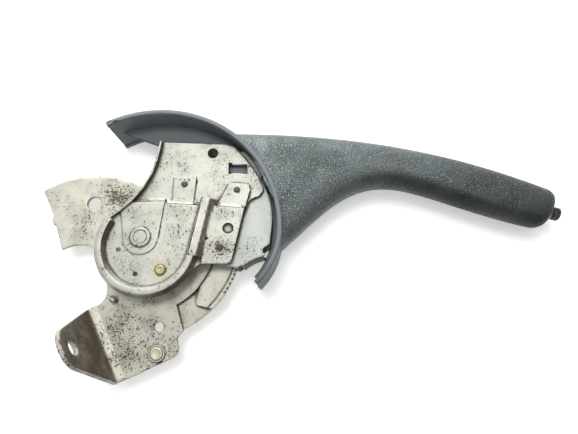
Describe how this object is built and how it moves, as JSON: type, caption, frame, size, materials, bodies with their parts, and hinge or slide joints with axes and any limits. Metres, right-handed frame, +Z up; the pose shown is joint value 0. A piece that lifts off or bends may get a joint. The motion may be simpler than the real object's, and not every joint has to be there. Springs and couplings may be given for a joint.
{
  "type": "parking brake lever",
  "caption": "Pull-up parking brake lever with a pressed-steel bracket, ratchet quadrant and pawl, padded grip with a push-button release, and a curved console shield.",
  "frame": {"origin": "centre of the ear bolt hole, on the near face of the bracket plate", "axes": "+X towards the release button, +Z up as fitted, +Y away from the side that shows the pivot rivet head"},
  "size_m": [0.4153, 0.0865, 0.2092],
  "materials": {
    "zinc_steel": "dull zinc plating with rust specks",
    "bracket_steel": "worn zinc plating with rust specks",
    "greasy_steel": "hardened steel, browned and greasy",
    "arm_steel": "zinc plating with a blue cast",
    "yellow_zinc": "yellow chromate zinc plating",
    "slate_plastic": "matt moulded plastic, slate grey",
    "grip_skin": "leather-grained soft plastic, dark slate",
    "bright_collar": "bright plated ring",
    "black_button": "gloss black"
  },
  "bodies": {
    "bracket": {"base_bracket": "bracket_steel", "ratchet_quadrant": "greasy_steel", "quadrant_rivets": "zinc_steel", "bracket_stud": "yellow_zinc", "pivot_sleeve": "zinc_steel"},
    "lever": {"pivot_pin": "zinc_steel", "near_cheek": "zinc_steel", "far_cheek": "zinc_steel", "rib_plate": "zinc_steel", "lever_arm": "arm_steel", "plate_rivets": "greasy_steel", "handle_tube": "zinc_steel", "console_shield": "slate_plastic", "grip": "grip_skin", "button_collar": "bright_collar", "spring_seat": "zinc_steel", "rod_spring": "zinc_steel", "cable_pin": "yellow_zinc", "cable_pin_clip": "zinc_steel", "pawl_pin": "zinc_steel"},
    "pawl": {"pawl": "greasy_steel"},
    "button": {"button": "black_button", "release_rod": "zinc_steel", "rod_clip": "zinc_steel"}
  },
  "joints": [
    {"name": "lever_pivot", "type": "hinge", "parent": "bracket", "child": "lever", "pos_m": [0.0447, -0.0005, -0.0307], "axis": [0, -1, 0], "range_deg": [-21, 30]},
    {"name": "button_slide", "type": "slide", "parent": "lever", "child": "button", "axis": [-0.9613, 0, 0.2756], "range_m": [-0.0013, 0.005], "stiffness_N_per_m": 800, "deforming": ["rod_spring"]},
    {"name": "pawl_pivot", "type": "hinge", "parent": "lever", "child": "pawl", "pos_m": [0.1252, -0.0005, 0.0023], "axis": [0, -1, 0], "range_deg": [-2.6, 9.9]}
  ],
  "couplings": [
    {"joint": "pawl_pivot", "follows": "button_slide", "rad_per_m": 34.247}
  ]
}
